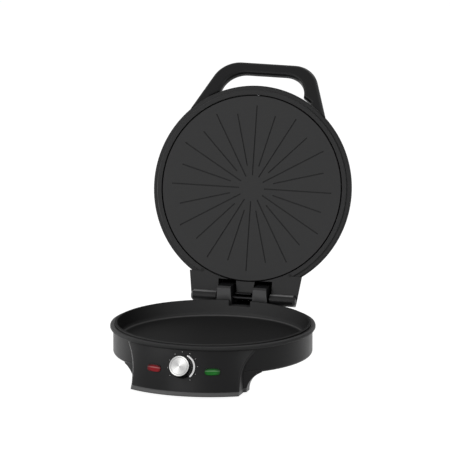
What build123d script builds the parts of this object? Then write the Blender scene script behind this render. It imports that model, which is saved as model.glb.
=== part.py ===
from build123d import *
from math import asin, cos, radians, sin, sqrt, tan
import os

# Electric pizza maker: a round base with a front console, and a round lid that
# stands open on a rear hinge. Millimetres, +Z up, the front is towards -Y.
# Everything is built about the pan's axis with the table at Z = 0. The lid is
# built closed and swung open, and the whole model is centred at the end.

# Base: pan, rim and bowl
rim_height = 83.0
cavity_radius = 154.0
pan_depth = 26.0
pan_wall = 2.6
pan_lean = 4.0
pan_corner = 8.0
flange_width = 4.2
flange_thickness = 3.0
bead_overhang = 4.9
bead_bottom = 9.8
wall_step = 2.1
housing_wall = 2.6
bowl_depth = 50.2
bowl_edge_round = 5.0
bowl_lip = 2.0
floor_ledge = 4.0
floor_plate = 2.0
bowl_top_chamfer = 0.8
foot_height = 2.8
foot_radius = 8.0
foot_stem_radius = 3.0
foot_stem_rise = 1.5
front_foot_x = 52.0
front_foot_step = 30.0
rear_foot_side_step = 26.0
rear_foot_step = 22.0
boss_bite = 0.5
boss_hole_depth = 12.0
console_boss_step = 20.0
console_boss_rise = 14.0
cover_screw_length = 12.0
vent_notch_half_width = 18.0
vent_notch_depth = 9.0
vent_notch_overlap = 6.0

# Front console and its controls
console_half_width = 90.0
console_back_step = 48.3
console_corner = 5.0
console_flare_radius = 58.6
console_flare_drop = 55.0
console_flare_end = 17.0
web_step = 4.0
web_radius = 30.0
web_rise = 1.5
panel_pivot = 13.0
panel_top_step = 1.7
panel_lean_out = 20.5
panel_radius = 250.0
panel_lip_drop = 75.5
panel_lip_step = 2.4
panel_lip_height = 3.5
dial_drop = 35.5
lamp_drop = 41.0
lamp_spread = 48.7
lamp_length = 25.0
lamp_height = 11.2
lamp_corner = 4.6
lamp_proud = 1.0
lamp_depth = 6.0
holder_depth = 14.0
holder_inset = 1.0
tab_size = (0.8, 4.8, 6.0)
knob_skirt_radius = 18.2
knob_skirt_height = 3.0
knob_radius = 17.6
knob_top_radius = 17.2
knob_height = 20.0
knob_gap = 0.8
cap_radius = 16.8
cap_pointer_angle = 216.0
cap_thickness = 1.2
shaft_radius = 3.0
shaft_depth = 11.0
thermostat_size = (36.0, 30.0, 20.0)
bracket_size = (52.0, 26.0, 1.2)
bracket_gap = 5.0
bracket_screw_radius = 1.1
bracket_hole_depth = 3.0
shaft_room = 1.5

# Rear tower, knuckles and hinge
tower_half_width = 60.0
tower_front_step = 44.0
tower_rear_step = 20.0
tower_drop = 20.0
tower_corner = 12.0
knuckle_inner = 17.0
knuckle_outer = 43.0
knuckle_taper = 2.2
knuckle_front_step = 13.0
knuckle_rise = 19.5
knuckle_chamfer = 3.0
knuckle_root_step = 28.0
hinge_step = 17.7
hinge_drop = 1.0
pin_radius = 3.5
pin_half_length = 83.0
sight_web_drop = 11.0
sight_web_half = 12.0
gland_radius = 6.5
gland_flange = 9.0
gland_bore = 3.6
gland_height = 30.0

# Lid: frame, hinge block, cover and plate
open_angle = 104.0
lid_gap = 1.0
plate_inset = 3.3
plate_thickness = 4.0
plate_gap = 0.9
plate_ledge = 7.5
plate_ledge_thickness = 3.6
ring_width = 7.4
lid_bead_overhang = 7.2
lid_bead_height = 10.5
groove_count = 24
groove_width = 1.9
groove_depth = 0.9
groove_inner = (21.0, 37.0)
groove_margin = (16.7, 27.7)
groove_turn = 0.0
cover_top = 42.0
cover_side_height = 27.0
cover_side_lean = 4.5
cover_shoulder = 20.0
cover_wall = 2.2
cover_slope_width = 17.0
cover_slope_drop = 4.5
cover_dome_radius = 100.0
cover_dome_drop = 2.2
cover_step_width = 4.0
cover_step_drop = 0.6
block_height = 29.0
block_half_width = 87.5
block_flare = 7.0
block_front_step = 40.0
block_corner = 9.0
block_end = 9.5
block_draft = 17.0
cap_depth = 4.0
cap_seat_radius = 5.1
barrel_radius = 9.3
barrel_chamfer = 3.5
pocket_inner = 16.0
pocket_outer = 45.0
pocket_start_step = 29.0
pocket_height = 24.5
tongue_narrowing = 3.0
tongue_clearance = 6.0
buffer_x = 74.0
buffer_step = 41.0
buffer_radius = 2.6
buffer_height = 0.7

# Handle: a bail in a plane that rises from the lid
handle_foot_step = 28.2
handle_lift = 19.0
handle_tilt = 30.0
handle_foot_half_width = 105.2
handle_top_half_width = 75.5
handle_length = 73.2
handle_corner = 46.0
handle_foot_bar = 21.2
handle_foot_length = 4.0
handle_waist_bar = 35.2
handle_waist_length = 14.0
handle_side_bar = 8.0
handle_top_bar = 20.7
handle_corner_step = 8.0
handle_thickness = 15.0
handle_round = 6.0
handle_root = 30.0

# Heating parts and small hardware
element_inset = 45.7
tube_radius = 3.3
element_arc = 320.0
clamp_wall = 1.0
clamp_width = 10.0
clamp_foot = 8.0
clamp_count = 4
clip_wall = 1.2
shield_thickness = 0.8
shield_inset = 18.7
post_circle = 62.0
post_radius = 5.0
post_neck_radius = 3.2
post_count = 3
screw_radius = 1.8
screw_head_radius = 3.4
screw_head_height = 2.0
boss_radius = 4.0

# Fits
fit = 0.3
slip = 0.1
running = 0.05

# Radii, heights and places worked out from the sizes above
flange_radius = cavity_radius + flange_width
wall_radius = flange_radius + wall_step
bead_radius = wall_radius + bead_overhang
vent_notch_front = cavity_radius - vent_notch_overlap
console_back = wall_radius - console_back_step
web_half_width = console_half_width + web_step
panel_top_reach = bead_radius - panel_top_step - panel_pivot
panel_bottom_reach = panel_top_reach + panel_lean_out
hinge_reach = wall_radius + hinge_step
tower_front = hinge_reach - tower_front_step
tower_rear = hinge_reach + tower_rear_step
knuckle_front = hinge_reach - knuckle_front_step
knuckle_root = hinge_reach - knuckle_root_step
plate_radius = cavity_radius - plate_inset
ring_radius = plate_radius + plate_gap + ring_width
lid_bead_radius = ring_radius + lid_bead_overhang
groove_outer = [plate_radius - margin for margin in groove_margin]
block_front = hinge_reach - block_front_step
pocket_start = hinge_reach - pocket_start_step
buffer_y = hinge_reach - buffer_step
handle_foot = lid_bead_radius - handle_foot_step
element_radius = plate_radius - element_inset
shield_radius = plate_radius - shield_inset
rim_z = rim_height
ring_top_z = rim_z - flange_thickness
housing_top_z = rim_z - bead_bottom
bowl_bottom_z = rim_z - bowl_depth
console_bottom_z = foot_height
pan_under_z = rim_z - pan_depth - pan_wall
hinge_z = rim_z - hinge_drop
plate_z = rim_z + lid_gap
inner_radius = wall_radius - housing_wall
ledge_z = bowl_bottom_z + floor_plate + fit
cover_plate_z = console_bottom_z + 1.2
tower_top_z = rim_z - tower_drop
pocket_limit = plate_z + pocket_height - hinge_z
pin_axis = Axis((0, hinge_reach, hinge_z), (1, 0, 0))
frame_inner = plate_radius + plate_gap


def disc(radius, low, high, x=0.0, y=0.0):
    """A round block about a vertical line."""
    return Pos(x, y, low) * Cylinder(
        radius, high - low, align=(Align.CENTER, Align.CENTER, Align.MIN))


def tube(outer, inner, low, high, x=0.0, y=0.0):
    """A round block with a round hole."""
    return disc(outer, low, high, x, y) - disc(inner, low - 1, high + 1, x, y)


def block(x_range, y_range, z_range):
    """A square block between two corners."""
    low = (x_range[0], y_range[0], z_range[0])
    size = [high - least for least, high in zip(low, (x_range[1], y_range[1], z_range[1]))]
    return Pos(*low) * Box(*size, align=(Align.MIN, Align.MIN, Align.MIN))


def turned(points):
    """A solid turned about the pan's axis, from (radius, height) points."""
    edges = Polyline(*[(radius, 0, height) for radius, height in points], close=True)
    return revolve(make_face(edges), Axis.Z, 360)


def along_x(points, low, high):
    """A (y, z) outline carried across from x = low to x = high."""
    edges = Polyline(*[(low, y, z) for y, z in points], close=True)
    return extrude(make_face(edges), amount=high - low, dir=(1, 0, 0))


def along_y(points, low, high):
    """An (x, z) outline carried back from y = low to y = high."""
    edges = Polyline(*[(x, low, z) for x, z in points], close=True)
    return extrude(make_face(edges), amount=high - low, dir=(0, 1, 0))


def along_z(points, low, high):
    """An (x, y) outline carried up from z = low to z = high."""
    edges = Polyline(*[(x, y, low) for x, y in points], close=True)
    return extrude(make_face(edges), amount=high - low, dir=(0, 0, 1))


def around(piece, count, start=0.0):
    """Copies of a piece at even steps about the pan's axis."""
    return [Rot(0, 0, start + index * 360 / count) * piece for index in range(count)]


def screw(x, y, head_z, length, upward=True):
    """A round-headed screw whose head lies at head_z and whose shank runs away from it."""
    step = 1 if upward else -1
    shank = disc(screw_radius, *sorted((head_z, head_z + step * length)), x, y)
    head = disc(screw_head_radius, *sorted((head_z, head_z - step * screw_head_height)), x, y)
    return shank + head


# Front console


def panel_centre():
    """The centre of the arc that the console's face follows, as (reach, height)."""
    top = (panel_top_reach, housing_top_z)
    bottom = (panel_bottom_reach, rim_z - panel_lip_drop)
    middle = ((top[0] + bottom[0]) / 2, (top[1] + bottom[1]) / 2)
    across = (bottom[0] - top[0], bottom[1] - top[1])
    chord = sqrt(across[0] ** 2 + across[1] ** 2)
    depth = sqrt(panel_radius ** 2 - (chord / 2) ** 2)
    return middle[0] + depth * across[1] / chord, middle[1] - depth * across[0] / chord


def panel_reach(height, inset=0.0):
    """How far the console's face stands from its vertical pivot at a height."""
    centre = panel_centre()
    return centre[0] + sqrt((panel_radius - inset) ** 2 - (height - centre[1]) ** 2)


def panel_solid(inset, low, high, lip=False):
    """All that lies behind the console's face, turned about the pivot."""
    lip_top = rim_z - panel_lip_drop
    arc_low = lip_top if lip else low
    middle = (high + arc_low) / 2
    face = ThreePointArc(
        (panel_reach(high, inset), 0, high),
        (panel_reach(middle, inset), 0, middle),
        (panel_reach(arc_low, inset), 0, arc_low))
    rest = [(panel_reach(arc_low, inset), arc_low)]
    if lip:
        proud = panel_bottom_reach + panel_lip_step
        rest += [(proud, lip_top - panel_lip_height), (proud, low)]
    rest += [(0, low), (0, high), (panel_reach(high, inset), high)]
    edges = face + Polyline(*[(reach, 0, height) for reach, height in rest])
    return Pos(0, -panel_pivot, 0) * revolve(make_face(edges), Axis.Z, 360)


def flared_outline(inset, low, high):
    """The console seen from the front: straight sides that flare out below the rim."""
    side = console_half_width - inset
    start_z = rim_z - console_flare_drop
    radius = console_flare_radius + inset
    turn = asin((console_flare_drop - console_flare_end) / console_flare_radius)
    centre_x = console_half_width + console_flare_radius

    def on_flare(angle):
        return centre_x - radius * cos(angle), start_z + radius * sin(angle)

    end = on_flare(turn)
    top_x = end[0] + (high - end[1]) * tan(turn)

    def corner(point, sign):
        return sign * point[0], 0, point[1]

    lines = []
    for sign in (1, -1):
        lines += [
            Line((sign * side, 0, low), (sign * side, 0, start_z)),
            ThreePointArc(
                (sign * side, 0, start_z), corner(on_flare(turn / 2), sign), corner(end, sign)),
            Line(corner(end, sign), (sign * top_x, 0, high))]
    lines += [Line((-side, 0, low), (side, 0, low)), Line((-top_x, 0, high), (top_x, 0, high))]
    return make_face(lines)


def web_outline(inset, low, high):
    """The bowl's wall seen from the front where it sweeps down to the console."""
    side = web_half_width - inset
    start_z = bowl_bottom_z - web_radius + web_rise
    radius = web_radius + inset
    centre_x = web_half_width + web_radius
    turn = radians(80)

    def on_sweep(angle, sign):
        return sign * (centre_x - radius * cos(angle)), 0, start_z + radius * sin(angle)

    lines = []
    for sign in (1, -1):
        end = on_sweep(turn, sign)
        lines += [
            Line((sign * side, 0, low), (sign * side, 0, start_z)),
            ThreePointArc((sign * side, 0, start_z), on_sweep(turn / 2, sign), end),
            Line(end, (end[0], 0, high))]
        top_x = abs(end[0])
    lines += [Line((-side, 0, low), (side, 0, low)), Line((-top_x, 0, high), (top_x, 0, high))]
    return make_face(lines)


def console_volume(inset, low, high, outside=False):
    """The console as a solid, drawn in by inset on its sides, face and back."""
    back = -(console_back + inset)
    front = -(panel_pivot + panel_bottom_reach + panel_lip_step + 10)
    box_front = Pos(0, front, 0) * extrude(
        flared_outline(inset, low, high), amount=back - front, dir=(0, 1, 0))
    face = box_front & panel_solid(inset, low, high, lip=outside)
    if outside:
        corners = face.edges().filter_by(
            lambda edge: abs(edge.center().X) > console_half_width - 2
            and edge.center().Y < -(console_back + 8)
            and edge.bounding_box().size.Z > 6)
        face = fillet(corners, console_corner)
    sweep_box = Pos(0, front, 0) * extrude(
        web_outline(inset, low, high), amount=back - front, dir=(0, 1, 0))
    return face + (sweep_box & disc(wall_radius - inset, low, high))


def panel_plane(drop, spread=0.0):
    """A plane on the console's face, looking straight out of it."""
    height = rim_z - drop
    centre = panel_centre()
    reach = panel_reach(height)
    turn = asin(spread / reach)
    lean = asin((height - centre[1]) / panel_radius)
    origin = (reach * sin(turn), -panel_pivot - reach * cos(turn), height)
    outward = (cos(lean) * sin(turn), -cos(lean) * cos(turn), sin(lean))
    return Plane(origin=origin, x_dir=(cos(turn), sin(turn), 0), z_dir=outward)


def dial_plane():
    return panel_plane(dial_drop)


def lamp_block(side, margin, low, high):
    """The rounded window shape of a lamp, between two depths from the face."""
    outline = RectangleRounded(
        lamp_length + 2 * margin, lamp_height + 2 * margin, lamp_corner + margin)
    plane = panel_plane(lamp_drop, side * lamp_spread)
    return plane * (Pos(0, 0, low) * extrude(outline, amount=high - low))


# Rear tower and knuckles


def tower_volume(inset, low, high):
    """The rear leg that carries the hinge."""
    half = tower_half_width - inset
    depth = tower_rear - tower_front - 2 * inset
    plan = RectangleRounded(2 * half, depth, tower_corner - min(inset, tower_corner - 1))
    middle = (tower_front + tower_rear) / 2
    return Pos(0, middle, low) * extrude(plan, amount=high - low)


def knuckle(side):
    """One upright of the base's hinge, bored for the pin, with the lid's stop at its back."""
    limit = pocket_limit - fit
    top = rim_z + knuckle_rise
    over = top - hinge_z
    stop = radians(open_angle - 90)
    tangent = (hinge_reach + limit * cos(stop), hinge_z - limit * sin(stop))
    fall = tangent[1] - tower_top_z
    foot_y = tangent[0] - fall * tan(stop)
    half_turn = (asin(over / limit) - stop) / 2
    points = [
        (foot_y, tower_top_z), (foot_y, tower_top_z - 4), (knuckle_root, tower_top_z - 4),
        (knuckle_root, housing_top_z - 1), (knuckle_front, housing_top_z - 1),
        (knuckle_front, top - knuckle_chamfer), (knuckle_front + knuckle_chamfer, top),
        (hinge_reach + sqrt(limit ** 2 - over ** 2), top)]
    lines = Polyline(*[(0, y, z) for y, z in points])
    round_back = ThreePointArc(
        (0, *points[-1]),
        (0, hinge_reach + limit * cos(half_turn), hinge_z + limit * sin(half_turn)),
        (0, *tangent))
    closing = Line((0, *tangent), (0, *points[0]))
    profile = make_face([*lines.edges(), round_back, closing])
    width = knuckle_outer - knuckle_inner
    bar = Pos(knuckle_inner, 0, 0) * extrude(profile, amount=width, dir=(1, 0, 0))
    taper = along_y(
        [(knuckle_inner, tower_top_z - 5), (knuckle_outer, tower_top_z - 5),
         (knuckle_outer, housing_top_z), (knuckle_outer - knuckle_taper, top + 1),
         (knuckle_inner + knuckle_taper, top + 1), (knuckle_inner, housing_top_z)],
        knuckle_root - 1, tower_rear + 20)
    solid = bar & taper
    return solid if side > 0 else mirror(solid, Plane.YZ)


def pin_hole(radius, half_length):
    """A round bar on the hinge's axis."""
    bar = Cylinder(radius, 2 * half_length)
    return Pos(0, hinge_reach, hinge_z) * Rot(0, 90, 0) * bar


# Base pieces


def bowl_form():
    """The outer form of the bowl, filled."""
    bowl = disc(wall_radius, bowl_bottom_z, housing_top_z)
    bowl = fillet(bowl.edges().group_by(Axis.Z)[0], bowl_edge_round)
    return chamfer(bowl.edges().group_by(Axis.Z)[-1], bowl_top_chamfer)


def console_room():
    """The space inside the front console."""
    return console_volume(housing_wall, console_bottom_z - 1, housing_top_z - housing_wall)


def leg_room():
    """The space inside the rear leg."""
    return tower_volume(housing_wall, console_bottom_z - 1, tower_top_z - housing_wall)


def lower_housing():
    """The bowl's wall, with the ledge for the bottom cover, open to the console and the leg."""
    wall = bowl_form()
    wall -= disc(inner_radius, ledge_z + 2, housing_top_z + 1)
    wall -= disc(inner_radius - floor_ledge - bowl_lip, bowl_bottom_z - 1, ledge_z + 3)
    wall -= disc(floor_radius() + fit, bowl_bottom_z - 1, ledge_z)
    wall -= console_room()
    wall -= leg_room()
    return wall


def boss_pair(place):
    """Two hollow screw bosses that rise from a lower cover plate."""
    x, y, top = place
    low = cover_plate_z + floor_plate
    pair = []
    for side in (-1, 1):
        boss = disc(boss_radius, low, top, side * x, y)
        pair.append(boss - disc(screw_radius, low, low + boss_hole_depth, side * x, y))
    return pair


def front_console():
    """The leaning console: panel, sides and back, with its windows, bosses and posts."""
    shell = console_volume(0, console_bottom_z, housing_top_z, outside=True)
    shell -= bowl_form()
    shell -= console_room()
    for boss in boss_pair(console_boss()):
        shell += boss - lower_housing()
    for side in (1, -1):
        shell -= lamp_block(side, slip, -4 * housing_wall, housing_wall)
    dial = dial_plane()
    for x in bracket_posts():
        shell += dial * (Pos(x, 0, -bracket_gap) * Cylinder(
            boss_radius, bracket_gap - housing_wall,
            align=(Align.CENTER, Align.CENTER, Align.MIN)))
        shell -= dial * (Pos(x, 0, -bracket_gap) * Cylinder(
            bracket_screw_radius + slip, 2 * bracket_hole_depth))
    shell -= dial * Cylinder(shaft_radius + shaft_room, 8 * housing_wall)
    return shell


def rear_leg():
    """The rear leg with the two hinge knuckles and the sight web between them."""
    shell = tower_volume(0, console_bottom_z, tower_top_z)
    for side in (1, -1):
        shell += knuckle(side)
    shell -= bowl_form()
    shell -= leg_room()
    for boss in boss_pair(leg_boss()):
        shell += boss
    shell += block(
        (-knuckle_inner, knuckle_inner),
        (hinge_reach - sight_web_half, hinge_reach + sight_web_half),
        (tower_top_z - housing_wall, hinge_z - sight_web_drop))
    shell -= pin_hole(pin_radius + running, knuckle_outer + 1)
    shell -= gland_shape(gland_radius + slip, tower_rear - 2 * housing_wall, tower_rear + 1)
    return shell


def floor_radius():
    """The opening under the bowl that the bottom cover fills."""
    return wall_radius - bowl_edge_round - bowl_lip


def console_boss():
    """One screw boss of the console, as (x, y, top)."""
    x = console_half_width - housing_wall - boss_radius + boss_bite
    return x, -(wall_radius - console_boss_step), bowl_bottom_z + console_boss_rise


def leg_boss():
    """One screw boss of the leg, as (x, y, top)."""
    x = tower_half_width - housing_wall - boss_radius + boss_bite
    return x, tower_rear - tower_corner - boss_radius, tower_top_z - housing_wall + boss_bite


def bracket_posts():
    """Where the thermostat's bracket is screwed, along the dial's plane."""
    reach = bracket_size[0] / 2 - boss_radius
    return (-reach, reach)


def vent_notch():
    """The gap in the rear of the rim, between the knuckles."""
    return block(
        (-vent_notch_half_width, vent_notch_half_width),
        (vent_notch_front, bead_radius + 5), (rim_z - vent_notch_depth, rim_z + 1))


def base_rim_ring():
    """The beaded ring between the pan's flange and the housing."""
    spigot = inner_radius - fit
    rise = (ring_top_z - housing_top_z) / 3
    outline = [
        (spigot - 2.2, ring_top_z), (bead_radius - 2.2, ring_top_z),
        (bead_radius - 0.6, ring_top_z - 0.7), (bead_radius, ring_top_z - rise),
        (bead_radius, housing_top_z + rise), (bead_radius - 1.4, housing_top_z),
        (spigot, housing_top_z), (spigot, housing_top_z - 4), (spigot - 2.2, housing_top_z - 4)]
    return turned(outline) - vent_notch()


def lower_pan():
    """The cast lower baking pan, with its flange over the ring."""
    base_radius = cavity_radius - pan_lean
    outer = [
        (0, pan_under_z), (base_radius + pan_wall, pan_under_z),
        (cavity_radius + 0.6, ring_top_z), (flange_radius, ring_top_z),
        (flange_radius, rim_z), (0, rim_z)]
    inner = [
        (0, rim_z - pan_depth), (base_radius, rim_z - pan_depth),
        (cavity_radius, rim_z), (cavity_radius, rim_z + 1), (0, rim_z + 1)]
    body = turned(outer)
    under = body.edges().group_by(Axis.Z)[0]
    body = fillet(under, pan_corner + pan_wall)
    rim = body.edges().filter_by(GeomType.CIRCLE).group_by(Axis.Z)[-1]
    body = fillet(rim.sort_by(SortBy.RADIUS)[-1], 1.2)
    hollow = turned(inner)
    hollow = fillet(hollow.edges().group_by(Axis.Z)[0], pan_corner)
    pan = body - hollow - vent_notch()
    return pan


def heating_element(low_z, radius=element_radius):
    """A tubular heater bent to an open ring, with its two cold ends to the front."""
    height = low_z + tube_radius
    section = Pos(radius, 0, height) * (Rot(90, 0, 0) * Circle(tube_radius))
    start = -90 + (360 - element_arc) / 2
    ring = Rot(0, 0, start) * revolve(section, Axis.Z, element_arc)
    ends = []
    for angle in (start, start + element_arc):
        x = radius * cos(radians(angle))
        y = radius * sin(radians(angle))
        tail = Pos(x, y, height) * (Rot(90, 0, 0) * Cylinder(
            tube_radius, 18, align=(Align.CENTER, Align.CENTER, Align.MIN)))
        pin = Pos(x, y - 18, height) * (Rot(90, 0, 0) * Cylinder(
            1.2, 8, align=(Align.CENTER, Align.CENTER, Align.MIN)))
        ends += [tail, pin, Pos(x, y, height) * Sphere(tube_radius)]
    for end in ends:
        ring += end
    return ring


def element_clamps(face_z, downward):
    """Small sheet straps that hold the heater to its plate."""
    inner = tube_radius + fit
    outer = inner + clamp_wall
    arc_x = element_radius
    depth = 2 * tube_radius
    strap = block(
        (arc_x - outer, arc_x + outer), (-clamp_width / 2, clamp_width / 2),
        (0, depth + slip + clamp_wall))
    strap -= block((arc_x - inner, arc_x + inner), (-clamp_width, clamp_width), (-1, depth + slip))
    for side in (-1, 1):
        edge = arc_x + side * outer
        far = edge + side * clamp_foot
        strap += block(
            sorted((edge - side * clamp_wall, far)), (-clamp_width / 2, clamp_width / 2),
            (0, clamp_wall))
    if downward:
        strap = mirror(strap, Plane.XY)
    strap = Pos(0, 0, face_z) * strap
    return around(strap, clamp_count, 45)


def heat_shield(plate_side_z, sheet_z):
    """A thin dish that keeps the heat on the plate, with holes for the posts."""
    low, high = sorted((plate_side_z, sheet_z))
    up = plate_side_z > sheet_z
    sheet_low = sheet_z if up else sheet_z - shield_thickness
    dish = disc(shield_radius, sheet_low, sheet_low + shield_thickness)
    dish += tube(shield_radius, shield_radius - shield_thickness, low, high)
    holes = around(disc(post_neck_radius + slip, low - 1, high + 1, post_circle, 0), post_count, 30)
    for hole in holes:
        dish -= hole
    for side in (-1, 1):
        dish -= block(
            sorted((side * 25, side * 45)), (-shield_radius - 1, -shield_radius + 3),
            (low - 1, high + 1))
    return dish


def posts(plate_side_z, sheet_z, far_z):
    """Stepped posts from the plate to the outer cover, which also carry the shield."""
    neck = disc(post_neck_radius, *sorted((plate_side_z, sheet_z)), post_circle, 0)
    foot = disc(post_radius, *sorted((sheet_z, far_z)), post_circle, 0)
    step = 1 if far_z < sheet_z else -1
    hole = disc(screw_radius, *sorted((far_z - 1 * step, far_z + 6 * step)), post_circle, 0)
    return around(neck + foot - hole, post_count, 30)


def bottom_cover():
    """The sheet under the bowl, with rows of vent slots."""
    plate = disc(floor_radius(), bowl_bottom_z + fit, ledge_z)
    front_cut = -(console_back - fit)
    rear_cut = tower_front - fit
    plate -= block((-200, 200), (-200, front_cut), (0, rim_z))
    plate -= block(
        (-tower_half_width - fit, tower_half_width + fit), (rear_cut, 200), (0, rim_z))
    for row in range(-3, 4):
        for side in (-1, 1):
            slot = SlotOverall(36, 4)
            plate -= Pos(side * 95, row * 14, bowl_bottom_z) * extrude(slot, amount=10, both=True)
    for hole in around(disc(screw_radius + slip, 0, rim_z, post_circle, 0), post_count, 30):
        plate -= hole
    return plate


def bottom_screws():
    low = bowl_bottom_z + fit
    return around(screw(post_circle, 0, low, 6), post_count, 30)


def front_cover():
    """The plate that closes the console's underside and carries the front feet."""
    plate = console_volume(housing_wall + fit, cover_plate_z, cover_plate_z + floor_plate)
    return drilled_cover(plate, console_boss(), front_foot())


def rear_cover():
    """The plate that closes the tower's underside and carries the rear feet."""
    plate = tower_volume(housing_wall + fit, cover_plate_z, cover_plate_z + floor_plate)
    return drilled_cover(plate, leg_boss(), rear_foot())


def drilled_cover(plate, boss, foot):
    for side in (-1, 1):
        for x, y, radius in (
                (boss[0], boss[1], screw_radius + slip), (*foot, foot_stem_radius + slip)):
            plate -= disc(radius, 0, cover_plate_z + 2 * floor_plate, side * x, y)
    return plate


def front_foot():
    return front_foot_x, -(console_back + front_foot_step)


def rear_foot():
    return tower_half_width - rear_foot_side_step, tower_rear - rear_foot_step


def cover_screws():
    """The four screws through the two lower cover plates."""
    screws = []
    for side in (-1, 1):
        for x, y, _ in (console_boss(), leg_boss()):
            shank = disc(
                screw_radius - slip, cover_plate_z, cover_plate_z + cover_screw_length, side * x, y)
            head = disc(
                screw_head_radius, cover_plate_z - screw_head_height, cover_plate_z, side * x, y)
            screws.append(shank + head)
    return screws


def feet(place):
    """A pair of round rubber feet with stems through the cover."""
    pads = []
    for side in (-1, 1):
        pad = disc(foot_radius, 0, cover_plate_z, side * place[0], place[1])
        pad = chamfer(pad.edges().group_by(Axis.Z)[0], 0.8)
        pad += disc(
            foot_stem_radius, cover_plate_z, cover_plate_z + floor_plate + foot_stem_rise,
            side * place[0], place[1])
        pads.append(pad)
    return pads


def thermostat():
    """The thermostat's body behind the dial."""
    length, height, depth = thermostat_size
    top = -bracket_gap - bracket_size[2]
    body = Pos(0, 0, top - depth / 2) * Box(length, height, depth)
    body = fillet(body.edges().filter_by(Axis.Z), 3)
    body -= Pos(0, 0, top) * Cylinder(shaft_radius + running, 2 * (shaft_depth + top + slip))
    for side in (-1, 1):
        body += Pos(side * length / 4, 0, top - depth - tab_size[2] / 2) * Box(*tab_size)
    return dial_plane() * body


def thermostat_bracket():
    """The sheet bracket between the thermostat and the panel's posts."""
    length, height, thickness = bracket_size
    sheet = Pos(0, 0, -bracket_gap - thickness / 2) * Box(length, height, thickness)
    sheet = fillet(sheet.edges().filter_by(Axis.Z), 4)
    sheet -= Cylinder(shaft_radius + running, 40)
    for x in bracket_posts():
        sheet -= Pos(x, 0, 0) * Cylinder(bracket_screw_radius + running, 40)
    return dial_plane() * sheet


def bracket_screws():
    low = -bracket_gap - bracket_size[2]
    pieces = []
    for x in bracket_posts():
        shank = Pos(x, 0, low) * Cylinder(
            bracket_screw_radius, bracket_size[2] + bracket_hole_depth - running,
            align=(Align.CENTER, Align.CENTER, Align.MIN))
        head = Pos(x, 0, low) * Cylinder(
            2 * bracket_screw_radius, bracket_screw_radius,
            align=(Align.CENTER, Align.CENTER, Align.MAX))
        pieces.append(dial_plane() * (shank + head))
    return pieces


def lamp_lens(side):
    """A domed lens that fills its window in the panel."""
    lens = lamp_block(side, 0, -lamp_depth, lamp_proud)
    plane = panel_plane(lamp_drop, side * lamp_spread)
    front = lens.faces().sort_by(Axis(plane.origin, plane.z_dir))[-1]
    return fillet(front.edges(), lamp_proud * 0.8)


def lamp_holders():
    """The two neon holders clipped behind the lenses."""
    holders = []
    for side in (-1, 1):
        plane = panel_plane(lamp_drop, side * lamp_spread)
        body = Pos(0, 0, -lamp_depth - holder_depth / 2) * Box(
            lamp_length - 2 * holder_inset, lamp_height - 2 * holder_inset, holder_depth)
        for x in (-lamp_length / 4, lamp_length / 4):
            body += Pos(x, 0, -lamp_depth - holder_depth - tab_size[2] / 2) * Box(*tab_size)
        holders.append(plane * body)
    return holders


def terminal_block():
    """The mains terminal block on the rear cover plate."""
    base = cover_plate_z + floor_plate
    body = block((-21, 21), (tower_front + 22, tower_front + 38), (base, base + 13))
    for index in range(3):
        x = (index - 1) * 13
        body -= disc(2, base + 7, base + 14, x, tower_front + 30)
        body -= block((x - 2, x + 2), (tower_front + 20, tower_front + 40), (base + 2, base + 6))
    return body


def thermal_fuse():
    """The one-shot fuse strapped under the lower pan."""
    height = pan_under_z - 2.6
    body = Pos(30, 20, height) * Rot(0, 90, 0) * Cylinder(2, 14)
    strap = block((26, 34), (17, 23), (height - 2.6, pan_under_z))
    strap -= Pos(30, 20, height) * Rot(0, 90, 0) * Cylinder(2, 14)
    return [body, strap]


def gland_shape(radius, low, high):
    """A round bar through the tower's back wall."""
    return Pos(0, low, gland_height) * Rot(-90, 0, 0) * Cylinder(
        radius, high - low, align=(Align.CENTER, Align.CENTER, Align.MIN))


def cord_gland():
    """The flanged bush where the mains lead goes in."""
    inner_face = tower_rear - housing_wall
    bush = gland_shape(gland_radius, inner_face - 6, tower_rear)
    bush += gland_shape(gland_flange, tower_rear, tower_rear + 3)
    bush += gland_shape(gland_radius + 1.5, inner_face - 8, inner_face - fit)
    bush = chamfer(bush.edges().group_by(Axis.Y)[-1].sort_by(SortBy.RADIUS)[-1], 1)
    return bush - gland_shape(gland_bore, inner_face - 10, tower_rear + 5)


def hinge_pin():
    return pin_hole(pin_radius, pin_half_length)


# Knob pieces


def knob_body():
    """The knob: a skirt, a slightly tapered grip and a bore for the shaft."""
    low = knob_gap
    points = [
        (0, low), (knob_skirt_radius, low), (knob_skirt_radius, low + knob_skirt_height - 0.6),
        (knob_radius, low + knob_skirt_height),
        (knob_top_radius, knob_height - 0.8), (knob_top_radius - 0.5, knob_height),
        (cap_radius - 0.4, knob_height), (0, knob_height)]
    knob = turned(points)
    knob -= disc(cap_radius - 0.4, knob_height - cap_thickness + 0.2, knob_height + 1)
    knob -= disc(shaft_radius, low - 1, knob_height - 5)
    ribs = around(block((knob_radius - 0.6, knob_radius + 0.3), (-0.5, 0.5),
                        (low + knob_skirt_height, knob_height - 4)), 36)
    for rib in ribs:
        knob += rib
    return dial_plane() * knob


def knob_cap():
    """The spun aluminium disc let into the knob's face, with a shallow dish and a pointer."""
    seat = knob_height - cap_thickness + 0.2
    top = seat + cap_thickness
    rim = cap_radius - 0.4
    cap = turned([
        (0, seat), (rim, seat), (rim, top - 0.3), (rim - 0.4, top), (rim - 2.2, top),
        (rim - 3.0, top - 0.4), (0, top - 0.4)])
    pointer = block((rim - 9, rim - 3.4), (-0.6, 0.6), (top - 0.7, top + 1))
    return dial_plane() * (cap - Rot(0, 0, cap_pointer_angle) * pointer)


def knob_shaft():
    return dial_plane() * disc(shaft_radius, -shaft_depth, knob_height - 5)


# Lid pieces, built closed


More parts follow.
